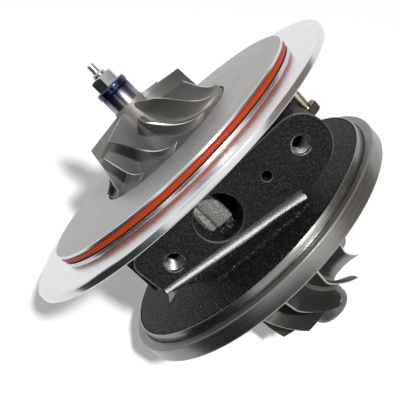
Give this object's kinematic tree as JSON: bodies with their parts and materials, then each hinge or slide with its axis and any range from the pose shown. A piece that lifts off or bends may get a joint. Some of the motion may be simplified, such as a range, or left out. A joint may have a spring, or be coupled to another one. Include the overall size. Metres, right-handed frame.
{
  "type": "turbocharger cartridge",
  "caption": "Turbocharger centre cartridge: cast bearing housing with oil pad, turned back plate with O-ring, compressor wheel and turbine wheel on one shaft.",
  "frame": {"origin": "on the rotor axis, in the plane of the compressor cover's seat, which is the front face of the large flange", "axes": "+X along the rotor toward the compressor nut, +Z square to the oil pad and out of it, +Y completes the right-handed set"},
  "size_m": [0.1471, 0.15, 0.15],
  "materials": {
    "housing_iron": "black sand-cast iron, machined pad and flange",
    "plate_aluminium": "turned aluminium, fine concentric lines",
    "wheel_aluminium": "cast aluminium, matt",
    "alloy": "nickel alloy casting, dull",
    "steel": "ground steel",
    "nut_steel": "bright machined steel",
    "bolt_zinc": "yellow zinc on steel",
    "silicone": "orange-red silicone rubber",
    "nitrile": "black rubber",
    "bronze": "bearing bronze",
    "ring_iron": "bright cast iron ring",
    "shield_steel": "pressed stainless sheet"
  },
  "bodies": {
    "housing": {"bearing_housing": "housing_iron", "back_plate": "plate_aluminium", "back_plate_bolts": "bolt_zinc", "compressor_o_ring": "silicone", "housing_o_ring": "nitrile", "compressor_seal_ring": "ring_iron", "oil_deflector": "steel", "thrust_bearing": "bronze", "thrust_dowels": "steel", "bearing_circlips": "ring_iron", "turbine_seal_ring": "ring_iron", "heat_shield": "shield_steel", "gallery_plug": "steel"},
    "rotor": {"turbine_shaft": "steel", "turbine_wheel": "alloy", "thrust_collar": "steel", "flinger_sleeve": "steel", "compressor_wheel": "wheel_aluminium", "shaft_nut": "nut_steel"},
    "bush_compressor": {"journal_bearing_compressor": "bronze"},
    "bush_turbine": {"journal_bearing_turbine": "bronze"}
  },
  "joints": [
    {"name": "rotor_spin", "type": "hinge", "parent": "housing", "child": "rotor", "pos_m": [0, 0, 0], "axis": [1, 0, 0], "continuous": true},
    {"name": "bush_compressor_spin", "type": "hinge", "parent": "housing", "child": "bush_compressor", "pos_m": [-0.023, 0, 0], "axis": [1, 0, 0], "continuous": true},
    {"name": "bush_turbine_spin", "type": "hinge", "parent": "housing", "child": "bush_turbine", "pos_m": [-0.04, 0, 0], "axis": [1, 0, 0], "continuous": true}
  ]
}
